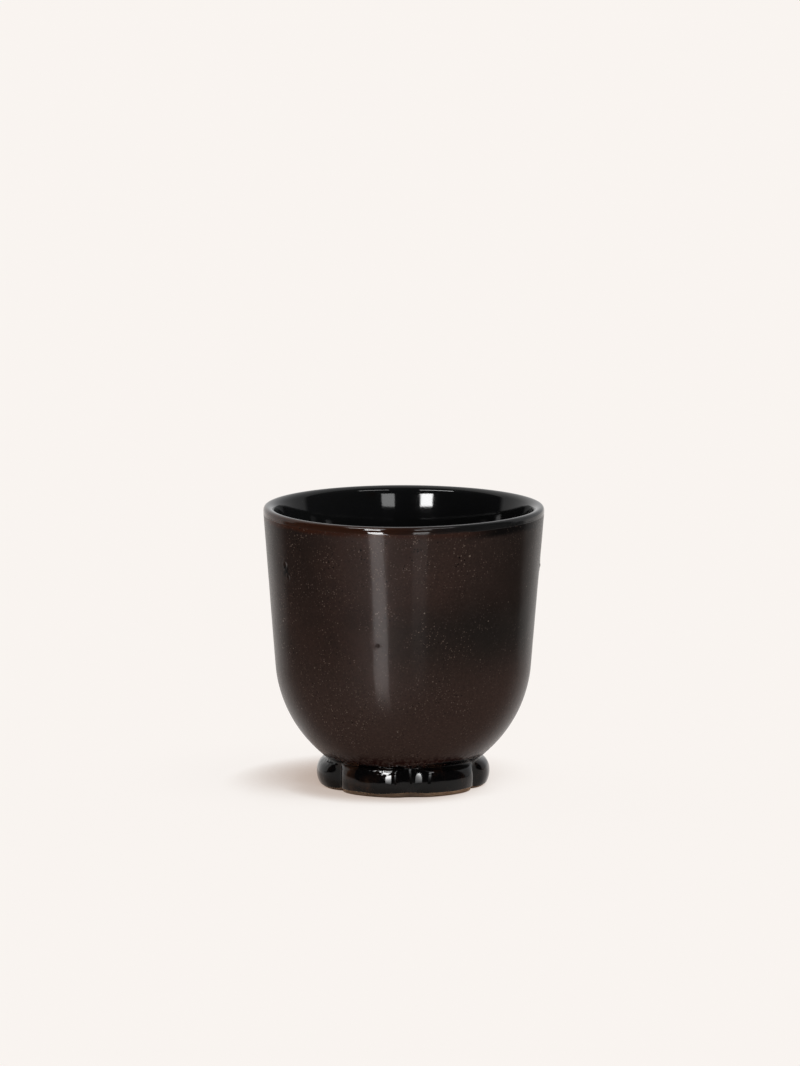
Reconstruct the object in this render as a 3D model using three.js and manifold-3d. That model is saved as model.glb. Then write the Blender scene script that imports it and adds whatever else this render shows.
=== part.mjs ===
// A handleless stoneware cup, in millimetres, +Z up, standing on the origin.
// A round-bottomed thrown bowl is luted with slip onto a turned foot ring, three pressed clay lobes
// are luted round that ring, and three glazes coat the inside, the outside and the foot.

import * as THREE from "three";
import { mergeVertices } from "three/addons/utils/BufferGeometryUtils.js";
import Module from "manifold-3d";

const wasm = await Module();
wasm.setup();

// Driving sizes of the bowl
const CUP_HEIGHT = 90.6; // table to the top of the glazed lip
const RIM_RADIUS = 45; // widest point of the glazed lip
const BOWL_RADIUS = 41.2; // glazed round bottom, a ball centred on the axis
const BOWL_LIFT = 1; // how far above the table that ball would end
const WALL = 2.9; // fired clay between the inner and outer glaze
const GLAZE = 0.4; // thickness of each glaze coat
const BASE_HEIGHT = 4.5; // turned flat base, above the table
const FLOOR = 4.6; // clay between that base and the floor of the bowl
const FLOOR_FILLET = 14; // round from the glazed floor into the wall

// Driving sizes of the foot
const RING_RADIUS = 22.6; // outside of the turned foot ring
const RING_WIDTH = 3.2; // its standing width
const RING_EDGE = 0.7; // round along its two standing edges
const LOBES = 3; // pressed clay lobes round the ring
const LOBE_TURN = 5; // degrees from the front of the cup to the middle of the nearest lobe
const LOBE_ROOT = 0.5; // clay left at a lobe's ends, where the groove is deepest
const LOBE_SWELL = 3.4; // how far a lobe's face stands out from its ends
const LOBE_CORNER = 8; // higher values keep a lobe's face full for longer before it turns in
const LOBE_DENT = 1.9; // depth of the thumb's dent in the middle of a lobe
const DENT_SPREAD = 0.18; // reach of that dent to each side, as a share of half a lobe
const LOBE_MIDDLE = 4.6; // height of a lobe's widest line
const LOBE_TUCK = 1.7; // how far below the table the lobe's round would close
const FOOT_FLARE = 0.7; // a groove leans out by this much from the table up to the bowl
const GLAZE_LINE = 1.1; // bare clay below this height

// Clearances
const LUTE = 0.3; // slip joint between two clay pieces
const BOND = 0.2; // between the foot glaze and the lobes under it

// Facets
const TURNS = 36; // round the axis
const LIP_STEPS = 8;
const WALL_BALL_STEPS = 8;
const RING_BALL_STEPS = 2;
const FILLET_STEPS = 4;
const EDGE_STEPS = 3;
const LOBE_STEPS = 16; // along a lobe, between its two ends
const LOBE_CROWD = 0.6; // share by which steps are shorter at a lobe's ends and at its dent
const SECTION_STEPS = 8; // over a lobe, from its top to the glaze line
const BARE_STEPS = 2; // from the glaze line to the table

// Worked out from the driving sizes
const LIP = WALL / 2 + GLAZE;
const LIP_RADIUS = RIM_RADIUS - LIP;
const LIP_HEIGHT = CUP_HEIGHT - LIP;
const BOWL_CENTRE = BOWL_RADIUS + BOWL_LIFT;
const LEAN = leanOfWall();
const CLAY_BALL = BOWL_RADIUS - GLAZE;
const SEAT_BALL = CLAY_BALL + LUTE;
const INNER_BALL = BOWL_RADIUS - 2 * LIP;
const FLOOR_HEIGHT = BASE_HEIGHT + FLOOR + GLAZE;
const FILLET_HEIGHT = FLOOR_HEIGHT + FLOOR_FILLET;
const FILLET_RADIUS = Math.sqrt((INNER_BALL - FLOOR_FILLET) ** 2 - (BOWL_CENTRE - FILLET_HEIGHT) ** 2);
const FILLET_ANGLE = Math.atan2(BOWL_CENTRE - FILLET_HEIGHT, FILLET_RADIUS);
const RING_BORE = RING_RADIUS - RING_WIDTH;
const GROOVE_RADIUS = RING_RADIUS + LUTE + LOBE_ROOT + BOND + GLAZE;
const FOOT_TOP_RADIUS = GROOVE_RADIUS + FOOT_FLARE;
const FOOT_TOP = ballHeight(BOWL_RADIUS + LUTE, FOOT_TOP_RADIUS);

// Angles on the round bottom, measured down from level
const COAT_END = Math.acos(FOOT_TOP_RADIUS / BOWL_RADIUS);
const RING_OUTSIDE = Math.acos(RING_RADIUS / SEAT_BALL);
const RING_INSIDE = Math.acos(RING_BORE / SEAT_BALL);
const BASE_EDGE = Math.asin((BOWL_CENTRE - BASE_HEIGHT) / CLAY_BALL);

const bareClay = finish("#9c8069", 0.9);
const slip = finish("#8a705a", 0.95);
const blackGlaze = finish("#0e0d0d", 0.12);
const brownGlaze = finish("#34291f", 0.45);

function finish(color, roughness) {
  return new THREE.MeshStandardMaterial({ color, roughness, metalness: 0 });
}

// The wall is the common tangent of the lip's round and the ball of the round bottom.
function leanOfWall() {
  const rise = LIP_HEIGHT - BOWL_CENTRE;
  const span = Math.hypot(LIP_RADIUS, rise);
  return Math.atan2(LIP_RADIUS, rise) - Math.asin((BOWL_RADIUS - LIP) / span);
}

// Height of the underside of a ball round the bowl's centre, at a radius from the axis.
function ballHeight(ball, radius) {
  return BOWL_CENTRE - Math.sqrt(ball ** 2 - radius ** 2);
}

// Evenly spaced values from one end to the other, both included.
function spread(from, to, steps) {
  return Array.from({ length: steps + 1 }, (_, i) => THREE.MathUtils.lerp(from, to, i / steps));
}

// Points of a round in the plane of radius and height, angles measured up from level.
function arc(radius, height, size, from, to, steps) {
  return spread(from, to, steps).map(
    (angle) => new THREE.Vector2(radius + size * Math.cos(angle), height + size * Math.sin(angle)),
  );
}

// A stretch of the round bottom, from a lower to a higher point.
function ballArc(ball, low, high, steps) {
  return arc(0, BOWL_CENTRE, ball, -low, -high, steps);
}

// The outside of the bowl from the foot up to the lip, a depth under the glaze's face.
function outsideWall(depth) {
  return ballArc(BOWL_RADIUS - depth, COAT_END, LEAN, WALL_BALL_STEPS);
}

// The lip from outside to inside, a depth under the glaze's face.
function lip(depth) {
  return arc(LIP_RADIUS, LIP_HEIGHT, LIP - depth, -LEAN, Math.PI - LEAN, LIP_STEPS);
}

// The inside of the bowl from below the lip to the axis, a depth under the glaze's face.
function insideWall(depth) {
  const ball = arc(0, BOWL_CENTRE, INNER_BALL + depth, -LEAN, -FILLET_ANGLE, WALL_BALL_STEPS);
  const fillet = FLOOR_FILLET + depth;
  const round = arc(FILLET_RADIUS, FILLET_HEIGHT, fillet, -FILLET_ANGLE, -Math.PI / 2, FILLET_STEPS);
  const middle = new THREE.Vector2(0, FLOOR_HEIGHT - depth);
  return [...ball, ...round.slice(1), middle];
}

// A piece turned about the cup's axis from its profile.
function turned(profile) {
  return new THREE.LatheGeometry(profile, TURNS).rotateX(Math.PI / 2);
}

function bowl() {
  return turned([
    new THREE.Vector2(0, BASE_HEIGHT),
    ...ballArc(CLAY_BALL, BASE_EDGE, RING_INSIDE, 1),
    ...ballArc(CLAY_BALL, RING_INSIDE, RING_OUTSIDE, RING_BALL_STEPS).slice(1),
    ...outsideWall(GLAZE),
    ...lip(GLAZE),
    ...insideWall(GLAZE),
  ]);
}

function outerGlaze() {
  const face = [...outsideWall(0), lip(0)[0]];
  const back = [...outsideWall(GLAZE), lip(GLAZE)[0]];
  return turned([...face, ...back.reverse(), face[0]]);
}

function linerGlaze() {
  const face = [...lip(0), ...insideWall(0)];
  const back = [...lip(GLAZE), ...insideWall(GLAZE)];
  return turned([...back.reverse(), ...face]);
}

// The layer of slip between the foot ring and the bowl.
function slipSeam() {
  const under = ballArc(SEAT_BALL, RING_INSIDE, RING_OUTSIDE, RING_BALL_STEPS);
  const over = ballArc(CLAY_BALL, RING_INSIDE, RING_OUTSIDE, RING_BALL_STEPS);
  return turned([...under, ...over.reverse(), under[0]]);
}

function footRing() {
  const quarter = Math.PI / 2;
  const seat = ballArc(SEAT_BALL, RING_INSIDE, RING_OUTSIDE, RING_BALL_STEPS).reverse();
  const innerEdge = arc(RING_BORE + RING_EDGE, RING_EDGE, RING_EDGE, -2 * quarter, -quarter, EDGE_STEPS);
  const outerEdge = arc(RING_RADIUS - RING_EDGE, RING_EDGE, RING_EDGE, -quarter, 0, EDGE_STEPS);
  return turned([...innerEdge, ...outerEdge, ...seat, innerEdge[0]]);
}

// The angle over a lobe's section, from a quarter turn at its top, at a height below its middle.
function sectionAngle(height) {
  return -Math.asin((LOBE_MIDDLE - height) / (LOBE_MIDDLE + LOBE_TUCK));
}

// A point over the foot's face: along runs from -1 to 1 between two grooves, with its dent at 0.
function footPoint(along, angle, depth) {
  const half = angle > 0 ? FOOT_TOP - depth - LOBE_MIDDLE : LOBE_MIDDLE + LOBE_TUCK;
  const height = LOBE_MIDDLE + half * Math.sin(angle);
  const groove = THREE.MathUtils.lerp(GROOVE_RADIUS, FOOT_TOP_RADIUS, height / FOOT_TOP) - depth;
  const swell = LOBE_SWELL * (1 - Math.abs(along) ** LOBE_CORNER) * Math.cos(angle);
  const dent = LOBE_DENT * Math.exp(-(Math.abs(along / DENT_SPREAD) ** 3)) * Math.cos(angle) ** 4;
  return new THREE.Vector2(groove + swell - dent, height);
}

const GLAZED_ANGLES = spread(Math.PI / 2, sectionAngle(GLAZE_LINE), SECTION_STEPS);
const BARE_ANGLES = spread(sectionAngle(GLAZE_LINE), sectionAngle(0), BARE_STEPS).slice(1);

// Where a lobe ends, short of the groove by half a slip joint.
const LOBE_END = 1 - ((LUTE / 2 / GROOVE_RADIUS) * LOBES) / Math.PI;
// Stations along a lobe, closer together at its ends and at its dent.
const LOBE_STATIONS = spread(-1, 1, LOBE_STEPS).map(
  (even) => LOBE_END * (even - (LOBE_CROWD * Math.sin(2 * Math.PI * even)) / (2 * Math.PI)),
);

// The turn about the axis of a station on a lobe: the first lobe is at the front of the cup.
function stationTurn(lobe, along) {
  const front = -Math.PI / 2 + THREE.MathUtils.degToRad(LOBE_TURN);
  return front + ((lobe + along / 2) * 2 * Math.PI) / LOBES;
}

// Stands a section's points up at a turn about the axis.
function standing(section, turn) {
  return section.map((p) => new THREE.Vector3(p.x * Math.cos(turn), p.x * Math.sin(turn), p.y));
}

// A solid through closed sections that follow each other round the axis, open ended or a full ring.
function loft(sections, turns, ring) {
  const count = sections[0].length;
  const points = sections.flatMap((section, i) => standing(section, turns[i]));
  const triangles = [];
  const spans = ring ? sections.length : sections.length - 1;
  for (let i = 0; i < spans; i += 1) {
    const near = i * count;
    const far = ((i + 1) % sections.length) * count;
    for (let j = 0; j < count; j += 1) {
      const next = (j + 1) % count;
      triangles.push(near + j, far + j, near + next);
      triangles.push(near + next, far + j, far + next);
    }
  }
  if (!ring) {
    const last = (sections.length - 1) * count;
    for (const [a, b, c] of THREE.ShapeUtils.triangulateShape(sections[0], [])) {
      triangles.push(a, b, c);
      triangles.push(last + c, last + b, last + a);
    }
  }
  const geometry = new THREE.BufferGeometry().setFromPoints(points);
  geometry.setIndex(triangles);
  return geometry;
}

// The black coat over all the lobes, from under the bowl to the glaze line.
function footGlaze() {
  const sections = [];
  const turns = [];
  for (let lobe = 0; lobe < LOBES; lobe += 1) {
    for (const along of [-1, ...LOBE_STATIONS]) {
      const face = GLAZED_ANGLES.map((angle) => footPoint(along, angle, 0));
      const back = GLAZED_ANGLES.map((angle) => footPoint(along, angle, GLAZE));
      sections.push([...face.reverse(), ...back]);
      turns.push(stationTurn(lobe, along));
    }
  }
  return loft(sections, turns, true);
}

// A lobe before it is pressed home: its own face outside, running in past the ring.
function lobeBlank(lobe) {
  const core = RING_RADIUS - RING_WIDTH / 2;
  const sections = LOBE_STATIONS.map((along) => {
    const face = [...GLAZED_ANGLES, ...BARE_ANGLES].map((angle) => footPoint(along, angle, GLAZE + BOND));
    return [new THREE.Vector2(core, face[0].y), new THREE.Vector2(core, 0), ...face.reverse()];
  });
  return loft(sections, LOBE_STATIONS.map((along) => stationTurn(lobe, along)), false);
}

function solidOf(geometry) {
  geometry.deleteAttribute("normal");
  geometry.deleteAttribute("uv");
  const merged = mergeVertices(geometry);
  return new wasm.Manifold(
    new wasm.Mesh({
      numProp: 3,
      vertProperties: new Float32Array(merged.attributes.position.array),
      triVerts: new Uint32Array(merged.index.array),
    }),
  );
}

function geometryOf(solid) {
  const mesh = solid.getMesh();
  const geometry = new THREE.BufferGeometry();
  geometry.setAttribute("position", new THREE.BufferAttribute(mesh.vertProperties, 3));
  geometry.setIndex(new THREE.BufferAttribute(mesh.triVerts, 1));
  return geometry;
}

// What a lobe is pressed against: the ring and the bowl, each grown by a slip joint.
function lobeSeat() {
  const room = RING_RADIUS + LUTE;
  const ring = turned([
    new THREE.Vector2(0, -LOBE_TUCK),
    new THREE.Vector2(room, -LOBE_TUCK),
    new THREE.Vector2(room, BOWL_CENTRE),
    new THREE.Vector2(0, BOWL_CENTRE),
  ]);
  const ball = turned([
    ...arc(0, BOWL_CENTRE, BOWL_RADIUS + LUTE, -Math.PI / 2, 0, 2 * WALL_BALL_STEPS),
    new THREE.Vector2(0, BOWL_CENTRE),
  ]);
  return solidOf(ring).add(solidOf(ball));
}

const cup = new THREE.Group();

function addPiece(name, geometry, material) {
  const piece = new THREE.Mesh(geometry, material);
  piece.name = name;
  cup.add(piece);
}

addPiece("bowl", bowl(), bareClay);
addPiece("liner_glaze", linerGlaze(), blackGlaze);
addPiece("outer_glaze", outerGlaze(), brownGlaze);
addPiece("slip_seam", slipSeam(), slip);
addPiece("foot_ring", footRing(), bareClay);
const seat = lobeSeat();
for (let lobe = 0; lobe < LOBES; lobe += 1) {
  const pressed = solidOf(lobeBlank(lobe)).subtract(seat);
  addPiece(`foot_lobe_${lobe + 1}`, geometryOf(pressed), bareClay);
}
addPiece("foot_glaze", footGlaze(), blackGlaze);

export default cup;
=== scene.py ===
# A handleless stoneware cup in metres, standing on the origin, +Z up, its front towards -Y.
# Finer skins with the unevenness of a thrown and glazed cup stand in for the plain solids.
# A turn is an angle round the axis from the front, positive to the right.

import math

import bmesh
import bpy
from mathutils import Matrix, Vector, noise


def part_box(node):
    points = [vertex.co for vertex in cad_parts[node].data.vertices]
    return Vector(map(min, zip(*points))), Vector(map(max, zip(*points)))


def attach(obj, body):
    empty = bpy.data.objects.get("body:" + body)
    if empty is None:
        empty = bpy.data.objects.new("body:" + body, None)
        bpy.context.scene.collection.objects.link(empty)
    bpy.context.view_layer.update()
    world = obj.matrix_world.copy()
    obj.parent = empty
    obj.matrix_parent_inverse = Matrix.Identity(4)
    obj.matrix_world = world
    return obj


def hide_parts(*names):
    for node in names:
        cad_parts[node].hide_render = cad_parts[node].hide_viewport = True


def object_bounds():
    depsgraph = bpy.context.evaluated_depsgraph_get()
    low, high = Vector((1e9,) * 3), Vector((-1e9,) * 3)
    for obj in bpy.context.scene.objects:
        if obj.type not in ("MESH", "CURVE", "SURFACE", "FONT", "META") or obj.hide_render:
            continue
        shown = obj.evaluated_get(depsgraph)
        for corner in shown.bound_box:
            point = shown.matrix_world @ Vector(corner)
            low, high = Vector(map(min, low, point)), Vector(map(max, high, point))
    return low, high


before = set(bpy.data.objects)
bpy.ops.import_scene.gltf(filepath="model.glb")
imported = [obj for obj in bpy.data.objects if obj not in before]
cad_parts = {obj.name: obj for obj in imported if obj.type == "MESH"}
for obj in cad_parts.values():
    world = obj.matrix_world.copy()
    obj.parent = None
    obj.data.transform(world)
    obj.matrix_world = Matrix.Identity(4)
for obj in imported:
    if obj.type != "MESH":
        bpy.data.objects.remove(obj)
cad_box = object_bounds()

MM = 0.001

# Sizes of the solids
RIM_RADIUS = cad_box[1].x
CUP_HEIGHT = cad_box[1].z
BASE_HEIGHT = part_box("bowl")[0].z
RING_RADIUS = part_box("foot_ring")[1].x
FOOT_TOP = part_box("foot_glaze")[1].z
GLAZE_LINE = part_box("foot_glaze")[0].z
BOWL_RADIUS = 41.2 * MM
BOWL_LIFT = 1 * MM
WALL = 2.9 * MM
GLAZE = 0.4 * MM
FLOOR = 4.6 * MM
FLOOR_FILLET = 14 * MM
RING_WIDTH = 3.2 * MM
RING_EDGE = 0.7 * MM
LUTE = 0.3 * MM
LOBES = 3
LOBE_TURN = math.radians(5)
LOBE_SWELL = 3.9 * MM
LOBE_CORNER = 8
LOBE_DENT = 2.3 * MM
DENT_LEFT = 5.8 * MM
DENT_RIGHT = 8 * MM
LOBE_MIDDLE = 4.6 * MM
LOBE_TUCK = 1.4 * MM
LOBE_ROOT = 1.4 * MM
FOOT_FLARE = 0.7 * MM

# Worked out from them
LIP = WALL / 2 + GLAZE
LIP_RADIUS = RIM_RADIUS - LIP
LIP_HEIGHT = CUP_HEIGHT - LIP
BOWL_CENTRE = BOWL_RADIUS + BOWL_LIFT
LIP_SPAN = math.hypot(LIP_RADIUS, LIP_HEIGHT - BOWL_CENTRE)
LEAN = math.atan2(LIP_RADIUS, LIP_HEIGHT - BOWL_CENTRE) - math.asin((BOWL_RADIUS - LIP) / LIP_SPAN)
CLAY_BALL = BOWL_RADIUS - GLAZE
SEAT_BALL = CLAY_BALL + LUTE
INNER_BALL = BOWL_RADIUS - 2 * LIP
FLOOR_HEIGHT = BASE_HEIGHT + FLOOR + GLAZE
FILLET_HEIGHT = FLOOR_HEIGHT + FLOOR_FILLET
FILLET_DROP = BOWL_CENTRE - FILLET_HEIGHT
FILLET_RADIUS = math.sqrt((INNER_BALL - FLOOR_FILLET) ** 2 - FILLET_DROP**2)
FILLET_ANGLE = math.atan2(FILLET_DROP, FILLET_RADIUS)
RING_BORE = RING_RADIUS - RING_WIDTH
GROOVE_RADIUS = RING_RADIUS + LOBE_ROOT
FOOT_TOP_RADIUS = GROOVE_RADIUS + FOOT_FLARE
COAT_END = math.acos(FOOT_TOP_RADIUS / BOWL_RADIUS)
BASE_EDGE = math.asin((BOWL_CENTRE - BASE_HEIGHT) / CLAY_BALL)
RING_OUTSIDE = math.acos(RING_RADIUS / SEAT_BALL)
RING_INSIDE = math.acos(RING_BORE / SEAT_BALL)

# How the thrown bowl strays from the solids
OVAL = 0.12 * MM
OVAL_TURN = 1.1
SWAY = 0.05 * MM
SWAY_TWIST = 7
LEAN_RIGHT = 0.15 * MM
RIM_DIP = 0.28 * MM
RIM_WARP = 0.35 * MM
LIP_CREST = 0.6 * MM
LIP_FLARE = math.radians(7.5)
INNER_TOP = LIP_HEIGHT + LIP * math.sin(LEAN + LIP_FLARE)
LIP_THICKENING = 1.7 * MM
THICKENING_REACH = 8 * MM

# The lining's edge, lapped over the outside of the lip
LAP = 0.4 * MM
LAP_WAVE = 0.12 * MM
LAP_PROUD = 0.03 * MM
LAP_SWELL = 0.6
LAP_ROUND = 0.25 * MM
LAP_SINK = 0.05 * MM

# The black glaze's ragged edge on the bowl, and its bubbles
COLLAR_SIDE = 10.3 * MM
COLLAR_FRONT = 0.7 * MM
COLLAR_RIGHT = 0.8 * MM
COLLAR_TURN = math.radians(42)
COLLAR_REACH = math.radians(40)
COLLAR_WAVE = 0.25 * MM
COLLAR_DIP = 0.9 * MM
COLLAR_RAGS = 0.6 * MM
COLLAR_ROUGHNESS = 22
ROUGH_SHARE = 0.7
DIP_TURN = math.radians(-10)
DIP_REACH = math.radians(30)
COLLAR_PROUD = 0.08 * MM
COLLAR_GAP = 0.3 * MM
BUBBLES = 0.34 * MM
BUBBLE_SIZE = 0.95 * MM
BUBBLE_REACH = 7 * MM
SMALL_BUBBLES = 0.4
SMALL_BUBBLE_SCALE = 2.3

# The foot: its boxier front lobe, the lower edge of its glaze, and its lumps
FRONT_MIDDLE = math.radians(-10)
FRONT_REACH = math.radians(70)
FRONT_LIFT = 0.8 * MM
FRONT_BOXINESS = 1.3
FRONT_LEAN = 0.14
GLAZE_RISE = 0.45 * MM
GLAZE_WAVE = 0.25 * MM
GLAZE_CREST = 1.35
SIDE_RUN = 0.7 * MM
SIDE_START = math.radians(56)
SIDE_REACH = math.radians(8)
FOOT_LUMPS = 0.07 * MM
LUMP_SIZE = 3.2 * MM
SHOULDER_START = 0.75
SHOULDER_REACH = 0.2
SHOULDER_BUBBLES = 0.5
SETTLE_PASSES = 9
ROUND_PASSES = 5
EDGE_DEPTH = 0.16 * MM
MORE_DEPTH = 0.18 * MM
EDGE_SHARE = 0.12

# The clay of a lobe, under the foot glaze
CLAY_DEPTH = 0.5 * MM
CLAY_CREST = 1.3
LOBE_GAP = 0.006
TOE_EDGE = 0.25 * MM
TOE_RISE = 0.2 * MM
BACK_DROP = 0.5 * MM

# Pits and bumps of the outer glaze, as (turn in degrees, height, size, how far they stand out)
FLAWS = (
    (-11.3, 52 * MM, 0.8 * MM, -0.3 * MM),
    (-3, 62 * MM, 0.55 * MM, 0.1 * MM),
    (-3.2, 74 * MM, 0.5 * MM, 0.08 * MM),
    (-3, 50.5 * MM, 0.5 * MM, 0.08 * MM),
    (-59, 75 * MM, 1.2 * MM, -0.2 * MM),
    (-57, 71 * MM, 0.9 * MM, -0.2 * MM),
    (87, 71.5 * MM, 1.3 * MM, 0.26 * MM),
)
FLAW_RIM = 1.1
FLAW_RIM_WIDTH = 0.35
FLAW_RIM_RISE = 0.3
WAVER = 0.02 * MM
WAVER_SIZE = 6 * MM
SCUFF_TURN = math.radians(-59)
SCUFF_RADIUS = 43 * MM
SCUFF = (SCUFF_RADIUS * math.sin(SCUFF_TURN), -SCUFF_RADIUS * math.cos(SCUFF_TURN), 73 * MM)

# Fineness of the skins
TURNS = 240
COAT_TURNS = 720
FOOT_TURNS = 480
WALL_STEPS = 48
BALL_STEPS = 40
COAT_FINENESS = 3
LIP_STEPS = 24
COLLAR_STEPS = 16
LOBE_STEPS = 48
FOOT_STEPS = 84
CLAY_STEPS = 40
JOIN_DISTANCE = 1e-7

# Bands of the outer glaze, as (where one starts, where it is full)
# Those named SIDE go by how far right a place is, -1 to 1, and those named BAND, LOW or HIGH by its height.
# Those named FADE go by its distance from an edge or a mark.
# The girdle is a band of painted shade at the right side, between two heights.
GIRDLE_LOW = (36 * MM, 50 * MM)
GIRDLE_HIGH = (68 * MM, 54 * MM)
GIRDLE_SIDE = (-0.3, 0.1)
GIRDLE_SHARE = 0.45
# The crown is darker at the left as painted shade, and paler towards the middle.
CROWN_BAND = (58 * MM, 76 * MM)
CROWN_SIDE = (0.85, 0.5)
CROWN_PALE_SIDE = (-0.75, -0.4)
CROWN_SHARE = 0.35
AMBER_FADE = (0.0, 1.6 * MM)
AMBER_SIDE = (0.56, -0.56)
BLACK_FADE = (-1.2 * MM, 0.4 * MM)
BLACK_SIDE = (0.39, 0.68)
# The glaze is lighter towards the bottom, as painted light bounced up from the floor.
LOW_BOUNCE_BAND = (54 * MM, 32 * MM)
SPOT_BAND = (15 * MM, 11.5 * MM)
SCUFF_FADE = (3.2 * MM, 0.8 * MM)
DUST_SIDE = (0.3, 0.72)
DUST_BAND = (70 * MM, 80 * MM)

# The heights between which the ragged lower edge of the amber or black under the lip lies
AMBER_EDGE = (87.5 * MM, 84.5 * MM)

# Bands of the two black glazes, in the same way
LIP_AMBER_SIDE = (0.48, -0.3)
BROWN_LEFT_SIDE = (-0.81, -0.64)
BROWN_RIGHT_SIDE = (-0.25, -0.48)
RUN_BAND = (9.4 * MM, 10.6 * MM)
RUN_SIDE = (0.43, 0.15)

# The camera, for an image 800 wide and 1066 high
IMAGE_HEIGHT = 1066
FOCAL_PIXELS = 7961
SENSOR = 36
CAMERA_DISTANCE = 2.57
CAMERA_ELEVATION = math.radians(10.711)
CAMERA_PITCH = math.radians(8.913)
CAMERA_LEFT = 1.03 * MM
CAMERA_SIGHT = 50

# The floor, and the painted shadows on it, as (aim, reach, how open where dark, where light, the darkest)
FLOOR_REACH = 12
SEEN_SHARE = 0.95
SHADES = (
    (Vector((0.57, -0.68, 0.46)), 32 * MM, 0.3, 0.97, 0.0),
    (Vector((0.85, 0, 0.53)), 18 * MM, 0.4, 0.92, 0.2),
    (Vector((0.5, 0.68, 0.53)), 14 * MM, 0.3, 0.97, 0.35),
)

# Where reflections show the floor pale: behind, by its Y over its distance, and near, by its distance
PALE_BEHIND = (0.3, 0.48)
PALE_NEAR = (0.28, 0.14)

# The lights, as (name, strength, height where it is full, rows)
# A row is (turn in degrees, distance, height, width).
STRIP_LOW = 0.5 * MM
MAIN_ROWS = ((-12.8, 0.062, STRIP_LOW, 0.01), (-17, 0.12, 0.043, 0.021), (-20.2, 0.168, 0.07, 0.031))
SECOND_ROWS = ((9, 0.062, STRIP_LOW, 0.01), (11, 0.12, 0.043, 0.021), (12.8, 0.168, 0.07, 0.032))
LIGHTS = (
    ("main_strip", 60, 0.03, MAIN_ROWS),
    ("second_strip", 10, 0.06, SECOND_ROWS),
    ("main_upper", 60, 0.03, ((-23.4, 0.262, 0.152, 0.055), (-24.1, 0.262, 0.211, 0.058))),
    ("second_upper", 10, 0.06, ((14.4, 0.262, 0.152, 0.057), (15.0, 0.262, 0.211, 0.06))),
    ("main_top", 24, 0.1, ((-36, 0.66, 0.7, 0.42), (-40, 0.7, 1.0, 0.55))),
    ("second_top", 10, 0.1, ((31, 0.66, 0.7, 0.36), (35, 0.7, 1.0, 0.5))),
)
SUN_STRENGTH = 1.8
SUN_ANGLE = math.radians(30)
SUN_FROM = Vector((0.27, -0.16, 0.94))

# The room: a pale wall behind, less bright at the right, with a soft and a sharp edge, and dark in front
WALL_LEFT = (0.95, 0.94, 0.93, 1)
WALL_RIGHT = (0.7, 0.7, 0.71, 1)
WALL_SIDES = (-0.5, 0.5)
WALL_SOFT = (-0.6, 0.4)
WALL_SHARP = (0.13, 0.25)
ROOM_DARK = (0.045, 0.045, 0.05, 1)


def srgb(red, green, blue):
    """A colour as a screen shows it, 0 to 255, in the linear values that shaders take."""
    linear = []
    for part in (red, green, blue):
        share = part / 255
        linear.append(share / 12.92 if share < 0.04045 else ((share + 0.055) / 1.055) ** 2.4)
    return (*linear, 1.0)


# Tones of the outer glaze, darker round the right and behind as painted shade: at the front and the left,
# further right as (degrees, colour), and behind
FRONT_TONE = srgb(55, 40.4, 35.4)
RIGHT_SHADED_TONES = ((14, srgb(55, 41, 36)), (34, srgb(43, 35, 32)), (60, srgb(37, 28, 24)))
BACK_TONE = srgb(43, 31, 26)
TONE_DRIFT = 0.5

# Colours of its bands and specks
MOTTLE_COLOUR = srgb(24, 20, 17)
# Painted shade for the girdle at the right
GIRDLE_SHADE_COLOUR = srgb(31, 31, 29)
# Painted shade for the crown at the left
CROWN_SHADE = srgb(20, 16, 14)
CROWN_PALE = srgb(70, 54, 49)
AMBER_COLOUR = srgb(60, 30, 16)
BLACK_COLOUR = srgb(13, 11, 11)
# Painted light bounced from the floor onto the bottom
LOW_BOUNCE_COLOUR = srgb(61, 47, 42)
SPOT_COLOUR = srgb(36, 14, 10)
SCUFF_COLOUR = srgb(14, 12, 11)
GRAIN_COLOUR = srgb(20, 15, 13)
DUST_COLOUR = srgb(112, 96, 87)
DOT_COLOUR = srgb(124, 110, 100)
PINHOLE_COLOUR = srgb(16, 12, 11)

# Colours of the black glazes, the clay, the slip and the floor
LINER_DARK = srgb(21, 22, 21)
LINER_PALE = srgb(27, 27, 28)
LINER_THIN = srgb(24, 19, 16)
LIP_AMBER = srgb(52, 29, 18)
FOOT_DARK = srgb(9, 9, 10)
FOOT_PALE = srgb(14, 13, 13)
FOOT_THIN = srgb(62, 42, 30)
RUN_COLOUR = srgb(46, 24, 17)
CLAY_PALE = srgb(200, 168, 138)
CLAY_DARK = srgb(158, 126, 100)
SLIP_PALE = srgb(176, 146, 118)
SLIP_DARK = srgb(134, 106, 82)
IRON_COLOUR = srgb(62, 45, 34)
PAPER_COLOUR = srgb(249, 244, 240)
# The floor's painted dark room in reflections, and its painted shadow
ROOM_COLOUR = srgb(60, 60, 62)
SHADE_COLOUR = srgb(184, 166, 154)


def smooth01(value):
    """0 up to 0 and 1 from 1 on, smooth between."""
    value = min(max(value, 0.0), 1.0)
    return value * value * (3 - 2 * value)


def wave(turn, *parts):
    """A ripple round the axis, from (times round, phase) pairs, between -1 and 1."""
    return sum(math.sin(times * turn + phase) for times, phase in parts) / len(parts)


def turn_between(turn, other):
    """How far a turn is past another one, between half a turn back and half a turn on."""
    return (turn - other + math.pi) % (2 * math.pi) - math.pi


def near_turn(turn, middle, reach):
    """1 at a middle turn, less beside it, 0 from a reach on."""
    return smooth01(1 - abs(turn_between(turn, middle)) / reach)


def in_space(radius, turn, height):
    return Vector((radius * math.sin(turn), -radius * math.cos(turn), height))


# Profiles, as (radius, height) pairs


def arc(radius, height, size, start, end, steps):
    points = []
    for i in range(steps + 1):
        angle = start + (end - start) * i / steps
        points.append((radius + size * math.cos(angle), height + size * math.sin(angle)))
    return points


def line(start, end, steps):
    return [
        (start[0] + (end[0] - start[0]) * i / steps, start[1] + (end[1] - start[1]) * i / steps)
        for i in range(steps + 1)
    ]


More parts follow.
